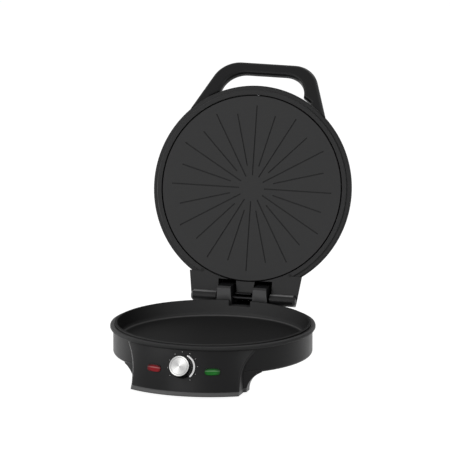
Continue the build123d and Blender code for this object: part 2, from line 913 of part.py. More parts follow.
def lid_frame():
    """The lid's inner frame: flange, bead, plate ledge and hinge block."""
    top = plate_z + lid_bead_height
    spigot = ring_radius - 2.0
    seat = plate_z + plate_thickness
    ledge_top = seat + plate_ledge_thickness
    outline = [
        (frame_inner, plate_z), (ring_radius - 0.8, plate_z), (ring_radius, plate_z + 0.8),
        (ring_radius, plate_z + 3.0), (lid_bead_radius - 2.2, plate_z + 3.4),
        (lid_bead_radius - 0.5, plate_z + 4.4), (lid_bead_radius, plate_z + 6.4),
        (lid_bead_radius - 0.4, top - 1.6), (lid_bead_radius - 2, top), (spigot, top),
        (spigot, top + 3.5), (spigot - 2.4, top + 3.5), (spigot - 2.4, ledge_top),
        (frame_inner - plate_ledge, ledge_top), (frame_inner - plate_ledge, seat),
        (frame_inner, seat)]
    frame = turned(outline) + hinge_block() - knuckle_pockets()
    for x in (-buffer_x, buffer_x):
        frame -= disc(buffer_radius - 0.8, plate_z - 1, plate_z + 2, x, buffer_y)
    for place in lid_screw_places():
        frame -= disc(screw_radius + slip, seat - 1, ledge_top + 1, *place)
        frame -= disc(screw_head_radius + slip, seat - 1, seat + screw_head_height, *place)
    return frame


def block_plan(margin=0.0):
    """The hinge block seen from above."""
    half = block_half_width + margin
    rear = hinge_reach + block_end + margin
    slope = block_flare / (rear - block_front)
    front_half = half + slope * (rear - block_front)
    return [(-front_half, block_front), (front_half, block_front), (half, rear), (-half, rear)]


def hinge_block():
    """The block at the lid's back: a flat face, a barrel below it and pockets for the knuckles."""
    high = plate_z + block_height
    rear = hinge_reach + block_end
    solid = along_z(block_plan(), hinge_z - barrel_radius - 1, high)
    corners = solid.edges().filter_by(Axis.Z).group_by(Axis.Y)[-1]
    solid = fillet(corners, block_corner)
    reach = block_half_width + block_flare + 5
    side = along_x([(block_front - 1, plate_z), (rear + 1, plate_z), (rear + 1, high + 1),
                    (block_front - 1, high + 1)], -reach, reach)
    top_edge = side.edges().filter_by(Axis.X).sort_by(lambda edge: edge.center().Y
                                                     + edge.center().Z)[-1]
    side = fillet(top_edge, 7)
    barrel = chamfer(
        pin_hole(barrel_radius, block_half_width).edges().filter_by(GeomType.CIRCLE),
        barrel_chamfer)
    filler = block((-reach, reach), (hinge_reach, rear + 1), (hinge_z, plate_z + 1))
    solid = solid & (side + barrel + filler)
    for turn in (1, -1):
        solid -= side_draft(turn)
    solid -= disc(frame_inner, plate_z - 1, high + 1)
    solid -= pin_hole(cap_seat_radius, reach)
    return solid + pin_sleeves()


def side_draft(sign):
    """What is trimmed from the block's side so that it narrows away from the flat face."""
    (_, _), (front_x, front_y), (rear_x, rear_y), (_, _) = block_plan()
    corner = Vector(sign * rear_x, rear_y, plate_z)
    along = Vector(sign * (front_x - rear_x), front_y - rear_y, 0).normalized()
    draft = radians(block_draft)
    across = Vector(0, 0, 1).cross(along) * sign
    outward = across * cos(draft) + Vector(0, 0, sin(draft))
    side = Plane(origin=corner, x_dir=along, z_dir=outward)
    length = 2 * block_front_step
    return side * Box(
        2 * length, 2 * length, block_height,
        align=(Align.CENTER, Align.CENTER, Align.MIN)) & block(
            (-2 * wall_radius, 2 * wall_radius), (0, 2 * wall_radius),
            (plate_z, plate_z + 2 * block_height))


def knuckle_pockets():
    """The space under the block's back wall that the knuckles and pin take, round a tongue."""
    tongue_end = hinge_reach - tongue_clearance
    tongue = pocket_inner - tongue_narrowing
    rear = hinge_reach + block_end + 5
    return along_z(
        [(-pocket_outer, pocket_start), (-pocket_inner, pocket_start), (-tongue, tongue_end),
         (tongue, tongue_end), (pocket_inner, pocket_start), (pocket_outer, pocket_start),
         (pocket_outer, rear), (-pocket_outer, rear)],
        hinge_z - 30, plate_z + pocket_height)


def pin_sleeves():
    """What is left round the pin inboard of the end caps."""
    inner = block_half_width - cap_depth
    bar = pin_hole(cap_seat_radius, inner) - pin_hole(pin_radius + running, inner + 1)
    return bar - pin_hole(cap_seat_radius + 1, pocket_outer)


def hinge_caps():
    """The plugs that close the barrel at each side and hold the pin."""
    length = cap_depth - 2 * slip
    middle = block_half_width - cap_depth / 2
    cap = pin_hole(cap_seat_radius - slip, length / 2)
    return [Pos(side * middle, 0, 0) * cap for side in (-1, 1)]


def lid_screw_places():
    """The screws that hold the cover to the frame, hidden behind the plate."""
    radius = frame_inner - screw_head_radius - 2 * fit
    return [(radius * cos(radians(angle)), radius * sin(radians(angle)))
            for angle in (-150, -90, -30, 30, 150)]


def cover_profile(inset):
    """The lid cover as a turned solid, drawn in by inset."""
    low = plate_z + lid_bead_height
    side_top = plate_z + cover_side_height
    foot = ring_radius + 2.0 - inset
    shoulder = foot - cover_side_lean
    crown = plate_z + cover_top - inset
    points = [
        (0, low), (foot, low), (shoulder, side_top),
        (shoulder - cover_slope_width, crown - cover_slope_drop),
        (cover_dome_radius, crown - cover_dome_drop),
        (cover_dome_radius - cover_step_width, crown - cover_step_drop), (0, crown)]
    solid = turned(points)
    ring_edges = solid.edges().filter_by(GeomType.CIRCLE)
    bends = [edge for edge in ring_edges
             if low + 5 < edge.center().Z < crown - 3 and edge.radius > cover_dome_radius + 5]
    return fillet(bends, cover_shoulder - inset)


def lid_cover():
    """The outer shell of the lid."""
    low = plate_z + lid_bead_height
    shell = cover_profile(0) - cover_profile(cover_wall)
    shell -= along_z(block_plan(fit), low - 1, plate_z + block_height + fit)
    for x, y in lid_screw_places():
        low = plate_z + plate_thickness + plate_ledge_thickness
        boss = disc(boss_radius - 0.6, low, plate_z + 34, x, y)
        boss -= disc(screw_radius + slip, low - 1, low + 12, x, y)
        shell += boss & cover_profile(0.5)
    return shell


def upper_plate():
    """The cast upper plate, with shallow radial grooves of two lengths in turn."""
    plate = disc(plate_radius, plate_z, plate_z + plate_thickness)
    plate = fillet(plate.edges().group_by(Axis.Z)[0], 0.8)
    for index in range(groove_count):
        inner = groove_inner[index % 2]
        outer = groove_outer[index % 2]
        slot = SlotOverall(outer - inner, groove_width)
        tool = Pos((inner + outer) / 2, 0, plate_z) * extrude(slot, amount=groove_depth, both=True)
        plate -= Rot(0, 0, groove_turn + index * 360 / groove_count) * tool
    return plate


def plate_clips():
    """Stepped strips that hold the plate's edge up to the frame's ledge."""
    low = plate_z + plate_thickness
    high = low + plate_ledge_thickness
    bend = frame_inner - plate_ledge - fit
    strip = along_x(
        [(bend - 9, low), (bend, low), (bend, high), (bend + 6, high), (bend + 6, high + clip_wall),
         (bend - clip_wall, high + clip_wall), (bend - clip_wall, low + clip_wall),
         (bend - 9, low + clip_wall)], -8, 8)
    return around(strip, 4, 45)


def lid_screws():
    head_z = plate_z + plate_thickness + screw_head_height
    return [screw(x, y, head_z, 12) for x, y in lid_screw_places()]


def lid_buffers():
    """Two small rubber stops pressed into the frame's flange."""
    pads = []
    for x in (-buffer_x, buffer_x):
        pad = disc(buffer_radius, plate_z - buffer_height, plate_z, x, buffer_y)
        pads.append(pad + disc(buffer_radius - 0.9, plate_z, plate_z + 1.8, x, buffer_y))
    return pads


# Handle


def handle_plane():
    """The plane of the bail: Y points out along it and Z is square to it."""
    tilt = radians(handle_tilt)
    return Plane(
        origin=(0, -handle_foot, plate_z + handle_lift), x_dir=(-1, 0, 0),
        z_dir=(0, sin(tilt), cos(tilt)))


def bail_outline(foot_half, top_half, length, corner):
    """A trapezium with two rounded upper corners, carried down past the bail's foot."""
    slope = (foot_half - top_half) / length
    low = -handle_root
    face = make_face(Polyline(
        (-foot_half + slope * low, low), (foot_half - slope * low, low),
        (top_half, length), (-top_half, length), close=True))
    return fillet(face.vertices().group_by(Axis.Y)[-1], corner)


def gap_outline():
    """The opening of the bail, which widens again towards the lid."""
    low = -handle_root
    foot = handle_foot_half_width - handle_foot_bar
    half = [(foot, low), (foot, handle_foot_length),
            (handle_foot_half_width - handle_waist_bar, handle_waist_length),
            (handle_top_half_width - handle_side_bar, handle_length - handle_top_bar)]
    other = [(-x, y) for x, y in reversed(half)]
    face = make_face(Polyline(*half, *other, close=True))
    return fillet(face.vertices().group_by(Axis.Y)[-1], handle_corner - handle_corner_step)


def handle_half(upper):
    """Half of the bail, split along its middle plane and cut to the cover's side."""
    outside = bail_outline(
        handle_foot_half_width, handle_top_half_width, handle_length, handle_corner)
    bar = extrude(outside - gap_outline(), amount=handle_thickness / 2)
    rims = bar.edges().group_by(Axis.Z)[-1]
    rims = rims.filter_by(lambda edge: edge.center().Y > -handle_root + 1)
    bar = fillet(rims, handle_round)
    if not upper:
        bar = mirror(bar, Plane.XY)
    bar = handle_plane() * bar
    return bar - cover_profile(0) - disc(
        lid_bead_radius + fit, plate_z - handle_root, plate_z + lid_bead_height + fit)


# Assembly


def swung_open(piece):
    return piece.rotate(pin_axis, -open_angle)


def build():
    """Every sub-part by name, with the lid open."""
    lower_face = pan_under_z
    shield_z = ledge_z + 6
    upper_face = plate_z + plate_thickness
    base = {
        "lower_housing": lower_housing(),
        "front_console": front_console(),
        "rear_leg": rear_leg(),
        "base_rim_ring": base_rim_ring(),
        "lower_pan": lower_pan(),
        "lower_element": heating_element(lower_face - 2 * tube_radius),
        "lower_element_clamps": element_clamps(lower_face, True),
        "lower_heat_shield": heat_shield(lower_face, shield_z),
        "pan_posts": posts(lower_face, shield_z, ledge_z),
        "bottom_cover": bottom_cover(),
        "bottom_screws": bottom_screws(),
        "front_cover": front_cover(),
        "rear_cover": rear_cover(),
        "cover_screws": cover_screws(),
        "front_feet": feet(front_foot()),
        "rear_feet": feet(rear_foot()),
        "thermostat": thermostat(),
        "thermostat_bracket": thermostat_bracket(),
        "bracket_screws": bracket_screws(),
        "red_lamp_lens": lamp_lens(-1),
        "green_lamp_lens": lamp_lens(1),
        "lamp_holders": lamp_holders(),
        "terminal_block": terminal_block(),
        "thermal_fuse": thermal_fuse(),
        "cord_gland": cord_gland(),
        "hinge_pin": hinge_pin(),
        "knob_body": knob_body(),
        "knob_cap": knob_cap(),
        "knob_shaft": knob_shaft(),
    }
    lid = {
        "lid_frame": lid_frame(),
        "lid_cover": lid_cover(),
        "upper_plate": upper_plate(),
        "upper_element": heating_element(upper_face),
        "upper_element_clamps": element_clamps(upper_face, False),
        "upper_heat_shield": heat_shield(upper_face, upper_face + 14),
        "plate_clips": plate_clips(),
        "lid_screws": lid_screws(),
        "lid_buffers": lid_buffers(),
        "hinge_caps": hinge_caps(),
        "handle_upper": handle_half(True),
        "handle_lower": handle_half(False),
    }
    parts = {name: solids_of(shape) for name, shape in base.items()}
    for name, shape in lid.items():
        parts[name] = [swung_open(solid) for solid in solids_of(shape)]
    return parts


def solids_of(shape):
    if isinstance(shape, list):
        return [solid for piece in shape for solid in piece.solids()]
    return list(shape.solids())


def main():
    parts = build()
    box = Compound([solid for solids in parts.values() for solid in solids]).bounding_box()
    middle = (box.min.Y + box.max.Y) / 2
    shift = Pos(0, -middle, -box.min.Z)
    os.makedirs("parts", exist_ok=True)
    for name, solids in parts.items():
        moved = [shift * solid for solid in solids]
        shape = moved[0] if len(moved) == 1 else Compound(children=moved)
        export_step(shape, f"parts/{name}.step")
    dial = dial_plane()
    print("size", [round(value, 2) for value in (box.size.X, box.size.Y, box.size.Z)])
    print("shift in Y", round(-middle, 3), "lowest Z", round(box.min.Z, 4))
    print("hinge at", round(hinge_reach - middle, 3), round(hinge_z, 3))
    print("dial at", [round(value, 3) for value in (
        dial.origin.X, dial.origin.Y - middle, dial.origin.Z)],
        "outward", [round(value, 5) for value in (dial.z_dir.X, dial.z_dir.Y, dial.z_dir.Z)])
    print("gland at", round(tower_rear - middle, 3), gland_height)
    print("feet at", front_foot()[0], round(front_foot()[1] - middle, 3),
          rear_foot()[0], round(rear_foot()[1] - middle, 3))


main()
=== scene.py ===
import bmesh
import bpy
from math import cos, radians, sin
from mathutils import Matrix, Vector


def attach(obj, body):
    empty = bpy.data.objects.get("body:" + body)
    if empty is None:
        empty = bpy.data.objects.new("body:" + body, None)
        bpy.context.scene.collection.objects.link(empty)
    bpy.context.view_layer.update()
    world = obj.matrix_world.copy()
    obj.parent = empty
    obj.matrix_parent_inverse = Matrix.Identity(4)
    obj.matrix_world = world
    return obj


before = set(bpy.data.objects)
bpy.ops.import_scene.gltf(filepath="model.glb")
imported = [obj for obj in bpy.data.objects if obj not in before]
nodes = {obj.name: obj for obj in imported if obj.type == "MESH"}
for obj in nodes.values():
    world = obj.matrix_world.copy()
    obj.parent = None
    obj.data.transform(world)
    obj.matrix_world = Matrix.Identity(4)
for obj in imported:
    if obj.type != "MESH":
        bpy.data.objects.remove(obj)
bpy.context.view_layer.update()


# Camera. The pizza maker is seen from far off through a very long lens, 13
# degrees above the worktop and 16 degrees round to its right.

azimuth = radians(16.3)
elevation = radians(13.0)
camera_distance = 30.0
pan_rim_centre = Vector((0, -0.06517, 0.083))
aim_right_of_pan = 0.0195
aim_above_pan = 0.1555
to_right = Vector((cos(azimuth), sin(azimuth), 0))
to_camera = Vector((
    sin(azimuth) * cos(elevation), -cos(azimuth) * cos(elevation), sin(elevation)))
upward = to_camera.cross(to_right)
aim = pan_rim_centre + aim_right_of_pan * to_right + aim_above_pan * upward

lens = bpy.data.cameras.new("product_camera")
lens.lens = 1493
lens.sensor_width = 36
lens.clip_end = 200
camera = bpy.data.objects.new("product_camera", lens)
turn = Matrix((to_right, upward, to_camera)).transposed().to_4x4()
camera.matrix_world = Matrix.Translation(aim + camera_distance * to_camera) @ turn
bpy.context.scene.collection.objects.link(camera)
bpy.context.scene.camera = camera
bpy.context.scene.view_settings.view_transform = "Standard"


# Studio. A white worktop and white surroundings. Soft lamps stand in front and at
# the front left, a weaker one at the right, one behind for the upper edges, and a
# low strip at the left that lights the side of the bowl.

def feed(tree, socket, value):
    """Links a socket to the output of another node, or sets it to a plain value."""
    if isinstance(value, bpy.types.NodeSocket):
        tree.links.new(value, socket)
    else:
        socket.default_value = value


def math_node(tree, operation, first, second=0.0):
    """The result of a Math node, with its inputs linked or set."""
    node = tree.nodes.new("ShaderNodeMath")
    node.operation = operation
    feed(tree, node.inputs[0], first)
    feed(tree, node.inputs[1], second)
    return node.outputs[0]


def seen_directly(tree):
    """One where a camera, mirror or glass ray looks, nought for plain light."""
    rays = tree.nodes.new("ShaderNodeLightPath").outputs
    looked_at = math_node(tree, "MAXIMUM", rays["Is Camera Ray"], rays["Is Glossy Ray"])
    return math_node(tree, "MAXIMUM", looked_at, rays["Is Transmission Ray"])


room_light = 0.14
white_wall = 1.0
world = bpy.data.worlds.new("studio")
world.use_nodes = True
sky = world.node_tree
sky.nodes.clear()
either = sky.nodes.new("ShaderNodeMixShader")
sky.links.new(seen_directly(sky), either.inputs[0])
for strength, socket in ((room_light, either.inputs[1]), (white_wall, either.inputs[2])):
    white = sky.nodes.new("ShaderNodeBackground")
    white.inputs["Color"].default_value = (1, 1, 1, 1)
    white.inputs["Strength"].default_value = strength
    sky.links.new(white.outputs[0], socket)
sky_out = sky.nodes.new("ShaderNodeOutputWorld")
sky.links.new(either.outputs[0], sky_out.inputs["Surface"])
bpy.context.scene.world = world

worktop_glow = 0.92
worktop_paint = bpy.data.materials.new("white_worktop")
worktop_paint.use_nodes = True
tree = worktop_paint.node_tree
tree.nodes.clear()
matt_white = tree.nodes.new("ShaderNodeBsdfDiffuse")
matt_white.inputs["Color"].default_value = (0.42, 0.42, 0.42, 1)
glow = tree.nodes.new("ShaderNodeEmission")
glow.inputs["Color"].default_value = (1, 1, 1, 1)
tree.links.new(math_node(tree, "MULTIPLY", seen_directly(tree), worktop_glow),
               glow.inputs["Strength"])
together = tree.nodes.new("ShaderNodeAddShader")
tree.links.new(matt_white.outputs[0], together.inputs[0])
tree.links.new(glow.outputs[0], together.inputs[1])
paint_out = tree.nodes.new("ShaderNodeOutputMaterial")
tree.links.new(together.outputs[0], paint_out.inputs["Surface"])

worktop_reach = 12
below_the_feet = -0.0002
shape = bmesh.new()
bmesh.ops.create_grid(shape, x_segments=1, y_segments=1, size=worktop_reach)
bmesh.ops.translate(shape, verts=shape.verts, vec=(0, 0, below_the_feet))
worktop_mesh = bpy.data.meshes.new("worktop")
shape.to_mesh(worktop_mesh)
shape.free()
worktop = bpy.data.objects.new("worktop", worktop_mesh)
worktop.data.materials.append(worktop_paint)
bpy.context.scene.collection.objects.link(worktop)

for name, place, width, power in (
        ("front_softbox", (-0.7, -3.0, 0.75), 1.6, 17),
        ("front_left_softbox", (-2.0, -1.7, 1.9), 1.5, 18),
        ("right_softbox", (2.1, -1.0, 0.9), 0.8, 8),
        ("back_strip", (0.4, 1.6, 2.3), 1.2, 14),
        ("low_left_strip", (-2.2, 0.25, 0.055), 0.1, 9)):
    box = bpy.data.lights.new(name, "AREA")
    box.size = width
    box.energy = power
    lamp = bpy.data.objects.new(name, box)
    lamp.location = place
    lamp.rotation_euler = (aim - Vector(place)).to_track_quat("-Z", "Y").to_euler()
    bpy.context.scene.collection.objects.link(lamp)


# Bowl housing. The bowl's wall and the plates that close the console and the rear
# leg from below. Black ABS with a fine spark grain from the mould, with a painted
# highlight on its sharp edges and painted shade in its grooves, gaps and pockets.

def new_group(name, inputs, outputs):
    """A shader node group, as (group, the sockets that come in, the sockets that go out)."""
    group = bpy.data.node_groups.new(name, "ShaderNodeTree")
    for label, kind, value in inputs:
        socket = group.interface.new_socket(name=label, in_out="INPUT", socket_type=kind)
        socket.default_value = value
    for label, kind in outputs:
        group.interface.new_socket(name=label, in_out="OUTPUT", socket_type=kind)
    coming_in = group.nodes.new("NodeGroupInput").outputs
    going_out = group.nodes.new("NodeGroupOutput").inputs
    return group, coming_in, going_out


def object_place(tree):
    """Coordinates that stay with the piece."""
    return tree.nodes.new("ShaderNodeTexCoord").outputs["Object"]


def face_normal(tree):
    """The direction in which the surface faces."""
    return tree.nodes.new("ShaderNodeNewGeometry").outputs["Normal"]


def by_axis(tree, vector):
    """The X, Y and Z of a vector."""
    node = tree.nodes.new("ShaderNodeSeparateXYZ")
    tree.links.new(vector, node.inputs[0])
    return node.outputs


def vector_node(tree, operation, first, second=(0, 0, 0)):
    """The outputs of a Vector Math node, with its inputs linked or set."""
    node = tree.nodes.new("ShaderNodeVectorMath")
    node.operation = operation
    feed(tree, node.inputs[0], first)
    feed(tree, node.inputs[1], second)
    return node.outputs


def noise(tree, place, scale, detail):
    """A noise pattern on the given coordinates."""
    node = tree.nodes.new("ShaderNodeTexNoise")
    tree.links.new(place, node.inputs["Vector"])
    feed(tree, node.inputs["Scale"], scale)
    node.inputs["Detail"].default_value = detail
    return node.outputs["Fac"]


def blend(tree, factor, first, second, how="MIX"):
    """A colour made of two others, each linked or set."""
    node = tree.nodes.new("ShaderNodeMix")
    node.data_type = "RGBA"
    node.blend_type = how
    tree.links.new(factor, node.inputs["Factor"])
    feed(tree, node.inputs["A"], first)
    feed(tree, node.inputs["B"], second)
    return node.outputs["Result"]


def dimmed(tree, colour, factor):
    """A colour multiplied by a plain value."""
    node = tree.nodes.new("ShaderNodeVectorMath")
    node.operation = "SCALE"
    tree.links.new(colour, node.inputs[0])
    tree.links.new(factor, node.inputs["Scale"])
    return node.outputs[0]


def relief(tree, height, strength, distance):
    """A Bump node that raises the surface by the height."""
    node = tree.nodes.new("ShaderNodeBump")
    tree.links.new(height, node.inputs["Height"])
    feed(tree, node.inputs["Strength"], strength)
    node.inputs["Distance"].default_value = distance
    return node


def painted_hollow_shade(tree, reach, amount):
    """Painted shade: one on open faces, falling to 1 - amount in grooves, gaps and pockets."""
    node = tree.nodes.new("ShaderNodeAmbientOcclusion")
    node.samples = 8
    node.inputs["Distance"].default_value = reach
    shade = math_node(tree, "POWER", node.outputs["AO"], 1.6)
    hidden = math_node(tree, "MULTIPLY", math_node(tree, "SUBTRACT", 1.0, shade), amount)
    return math_node(tree, "SUBTRACT", 1.0, hidden)


grain, grain_in, grain_out = new_group(
    "moulded_grain",
    (("Colour", "NodeSocketColor", (0.01, 0.01, 0.01, 1)),
     ("Grain Scale", "NodeSocketFloat", 1500.0),
     ("Grain Depth", "NodeSocketFloat", 0.2),
     ("Roughness", "NodeSocketFloat", 0.4),
     ("Handling", "NodeSocketFloat", 0.08),
     ("Edge Polish", "NodeSocketFloat", 1.0)),
    (("Colour", "NodeSocketColor"), ("Roughness", "NodeSocketFloat"),
     ("Normal", "NodeSocketVector")))
sparks = noise(grain, object_place(grain), grain_in["Grain Scale"], 2.0)
smears = noise(grain, object_place(grain), 24.0, 3.0)
# Painted highlight: sharp edges, found by a Bevel node, are painted paler.
round_edge = grain.nodes.new("ShaderNodeBevel")
round_edge.samples = 4
round_edge.inputs["Radius"].default_value = 0.0006
alike = vector_node(grain, "DOT_PRODUCT", round_edge.outputs[0], face_normal(grain))["Value"]
edge = math_node(grain, "SUBTRACT", 1.0, alike)
edge = math_node(grain, "MULTIPLY", edge, grain_in["Edge Polish"])
edge = math_node(grain, "MINIMUM", math_node(grain, "MULTIPLY", edge, 4.0), 1.0)
painted_edge_highlight = (0.035, 0.035, 0.036, 1)
paler = blend(grain, edge, grain_in["Colour"], painted_edge_highlight, how="ADD")
pits = relief(grain, sparks, grain_in["Grain Depth"], 0.0002)
grain.links.new(round_edge.outputs[0], pits.inputs["Normal"])
uneven = math_node(grain, "SUBTRACT", smears, 0.5)
uneven = math_node(grain, "MULTIPLY", uneven, grain_in["Handling"])
# Painted shade: the colour darkens in grooves, gaps and pockets.
painted_shade = painted_hollow_shade(grain, 0.012, 0.85)
grain.links.new(dimmed(grain, paler, painted_shade), grain_out["Colour"])
grain.links.new(math_node(grain, "ADD", grain_in["Roughness"], uneven),
                grain_out["Roughness"])
grain.links.new(pits.outputs["Normal"], grain_out["Normal"])


def new_finish(name):
    """A new material, as (material, node tree, shader)."""
    material = bpy.data.materials.new(name)
    material.use_nodes = True
    return material, material.node_tree, material.node_tree.nodes["Principled BSDF"]


def finish_with(group, name, specular, **values):
    """A material whose colour, roughness and normal come from its surface, a group."""
    material, tree, shader = new_finish(name)
    surface = tree.nodes.new("ShaderNodeGroup")
    surface.name = "surface"
    surface.node_tree = group
    for label, value in values.items():
        surface.inputs[label.replace("_", " ")].default_value = value
    tree.links.new(surface.outputs["Colour"], shader.inputs["Base Color"])
    tree.links.new(surface.outputs["Roughness"], shader.inputs["Roughness"])
    tree.links.new(surface.outputs["Normal"], shader.inputs["Normal"])
    shader.inputs["Specular IOR Level"].default_value = specular
    return material


def dress(material, *names):
    """Gives CAD nodes their finish."""
    for name in names:
        nodes[name].data.materials.clear()
        nodes[name].data.materials.append(material)


housing_black = (0.0085, 0.0085, 0.009, 1)
spark_grain = {"Grain_Scale": 1500, "Grain_Depth": 0.22, "Roughness": 0.36,
               "Handling": 0.08, "Edge_Polish": 0.4}
housing_plastic = finish_with(
    grain, "housing_plastic", specular=0.16, Colour=housing_black, **spark_grain)
dress(housing_plastic, "lower_housing", "front_cover", "rear_cover")


# Front console. The leaning front with the dial and the lamps, in the housing's
# plastic. The thin lip along its foot is painted paler, a painted highlight.

lip_top = 0.0085
black_from = 0.0098
lip_painted_highlight = (0.17, 0.17, 0.171, 1)


def ramp(tree, value, start, end, low=0.0, high=1.0):
    """A value that goes evenly from low to high between start and end."""
    node = tree.nodes.new("ShaderNodeMapRange")
    node.inputs["From Min"].default_value = start
    node.inputs["From Max"].default_value = end
    node.inputs["To Min"].default_value = low
    node.inputs["To Max"].default_value = high
    tree.links.new(value, node.inputs["Value"])
    return node.outputs["Result"]


console_plastic = finish_with(grain, "console_plastic", specular=0.16, **spark_grain)
tree = console_plastic.node_tree
surface = tree.nodes["surface"]
# Painted highlight: the thin lip at the foot is grey, fading to black above it.
above_lip = ramp(tree, by_axis(tree, object_place(tree))["Z"], lip_top, black_from)
tree.links.new(blend(tree, above_lip, lip_painted_highlight, housing_black), surface.inputs["Colour"])
dress(console_plastic, "front_console")


# Rear leg. The moulding that carries the lid, with two hinge knuckles. Their
# fronts are painted grey as painted light, and their flanks stay black.

flank_black = (0.008, 0.008, 0.0085, 1)
painted_front_light = (0.155, 0.155, 0.157, 1)

hinge_plastic = finish_with(
    grain, "hinge_plastic", specular=0.1,
    Grain_Scale=1500, Grain_Depth=0.2, Roughness=0.45, Handling=0.08, Edge_Polish=1.0)
tree = hinge_plastic.node_tree
surface = tree.nodes["surface"]
# Painted light: faces turned to the front are grey, the rest black.
front_face = ramp(tree, by_axis(tree, face_normal(tree))["Y"], -0.6, -0.9)
tree.links.new(blend(tree, front_face, flank_black, painted_front_light), surface.inputs["Colour"])
dress(hinge_plastic, "rear_leg")


# Rim ring. A separate black band with a soft bead, smoother than the housing,
# clamped between the housing and the flange of the pan.

ring_plastic = finish_with(
    grain, "ring_plastic", specular=0.04,
    Colour=(0.058, 0.058, 0.0585, 1), Grain_Scale=1800, Grain_Depth=0.12,
    Roughness=0.45, Handling=0.06, Edge_Polish=0.8)
dress(ring_plastic, "base_rim_ring")


# Baking plates. Cast aluminium with a sprayed and baked non-stick coat: almost
# black, with tiny paler flecks and a slight orange-peel. The pan's floor and flanks
# are painted darkest as painted shade, and the foot of its wall has a painted highlight.

coat, coat_in, coat_out = new_group(
    "non_stick_coat",
    (("Colour", "NodeSocketColor", (0.015, 0.015, 0.015, 1)),
     ("Fleck Colour", "NodeSocketColor", (0.06, 0.06, 0.06, 1)),
     ("Roughness", "NodeSocketFloat", 0.4),
     ("Gloss", "NodeSocketFloat", 0.6),
     ("Peel Depth", "NodeSocketFloat", 0.2),
     ("Seasoning", "NodeSocketFloat", 0.0)),
    (("Colour", "NodeSocketColor"), ("Roughness", "NodeSocketFloat"),
     ("Gloss", "NodeSocketFloat"), ("Normal", "NodeSocketVector")))
cells = coat.nodes.new("ShaderNodeTexVoronoi")
cells.inputs["Scale"].default_value = 900
coat.links.new(object_place(coat), cells.inputs["Vector"])
cloud = noise(coat, object_place(coat), 30.0, 3.0)
fleck = math_node(coat, "LESS_THAN", cells.outputs["Distance"], 0.16)
fleck = math_node(coat, "MULTIPLY", fleck, cloud)
spotted = blend(coat, fleck, coat_in["Colour"], coat_in["Fleck Colour"])
peel = relief(coat, noise(coat, object_place(coat), 420.0, 2.0), coat_in["Peel Depth"], 0.0003)
uneven = math_node(coat, "MULTIPLY", math_node(coat, "SUBTRACT", cloud, 0.5), 0.08)
# Painted shade: faces turned up or to the sides are darkened and lose gloss.
facing = by_axis(coat, face_normal(coat))
level = math_node(coat, "POWER", math_node(coat, "MAXIMUM", facing["Z"], 0.0), 3.0)
flank = math_node(coat, "POWER", math_node(coat, "ABSOLUTE", facing["X"]), 4.0)
facing_shade = math_node(coat, "ADD", level, math_node(coat, "MULTIPLY", flank, 1.5))
facing_shade = math_node(coat, "MULTIPLY", facing_shade, coat_in["Seasoning"])
# Painted shade in hollows and on those faces, on colour and gloss alike.
painted_shade = math_node(coat, "MULTIPLY", painted_hollow_shade(coat, 0.003, 0.9),
                math_node(coat, "SUBTRACT", 1.0, facing_shade))
coat.links.new(dimmed(coat, spotted, painted_shade), coat_out["Colour"])
coat.links.new(math_node(coat, "ADD", coat_in["Roughness"], uneven), coat_out["Roughness"])
coat.links.new(math_node(coat, "MULTIPLY", coat_in["Gloss"], painted_shade), coat_out["Gloss"])
coat.links.new(peel.outputs["Normal"], coat_out["Normal"])


def non_stick(name, **values):
    """The coated surface of one plate."""
    material = finish_with(coat, name, specular=0.0, Roughness=0.5, **values)
    tree = material.node_tree
    shader = tree.nodes["Principled BSDF"]
    shader.inputs["Coat Roughness"].default_value = 0.5
    tree.links.new(tree.nodes["surface"].outputs["Gloss"], shader.inputs["Coat Weight"])
    return material


wall_foot_height = 0.0588
foot_highlight_reach = 0.00125
# The pan's floor and flanks get painted shade.
pan_coating = non_stick(
    "pan_coating", Gloss=0.2, Fleck_Colour=(0.1, 0.1, 0.102, 1), Peel_Depth=0.2,
    Seasoning=0.5)
tree = pan_coating.node_tree
surface = tree.nodes["surface"]
# Painted highlight: a pale band round the foot of the pan's wall.
height = by_axis(tree, object_place(tree))["Z"]
from_foot = math_node(tree, "ABSOLUTE", math_node(tree, "SUBTRACT", height, wall_foot_height))
foot_highlight = math_node(tree, "MULTIPLY", from_foot, 1 / foot_highlight_reach)
foot_highlight = math_node(tree, "MAXIMUM", math_node(tree, "SUBTRACT", 1.0, foot_highlight), 0.0)
pan_tone = blend(tree, foot_highlight, (0.066, 0.066, 0.0665, 1), (0.2, 0.2, 0.2, 1))
tree.links.new(pan_tone, surface.inputs["Colour"])
dress(pan_coating, "lower_pan")


def box_corners(node):
    """The corners of a CAD node's box."""
    return [Vector(corner) for corner in nodes[node].bound_box]


def box_middle(node):
    """The middle of a CAD node's box."""
    return sum(box_corners(node), Vector()) / 8


# The rounded edge of the upper plate, beside the gap round it, is painted shade: a black line.
edge_width = 0.0014
edge_shade = 0.1
plate_radius = max(corner.x for corner in box_corners("upper_plate"))
plate_coating = non_stick(
    "plate_coating", Gloss=0.62, Colour=(0.0095, 0.0095, 0.01, 1),
    Fleck_Colour=(0.036, 0.036, 0.038, 1), Peel_Depth=0.25)
tree = plate_coating.node_tree
shader = tree.nodes["Principled BSDF"]
surface = tree.nodes["surface"]
from_middle = vector_node(
    tree, "DISTANCE", object_place(tree), box_middle("upper_plate"))["Value"]
# Painted shade: colour and gloss fall to a tenth along the plate's edge.
lit = math_node(tree, "LESS_THAN", from_middle, plate_radius - edge_width)
lit = math_node(tree, "ADD", math_node(tree, "MULTIPLY", lit, 1 - edge_shade), edge_shade)
tree.links.new(dimmed(tree, surface.outputs["Colour"], lit), shader.inputs["Base Color"])
tree.links.new(math_node(tree, "MULTIPLY", surface.outputs["Gloss"], lit),
               shader.inputs["Coat Weight"])
dress(plate_coating, "upper_plate")


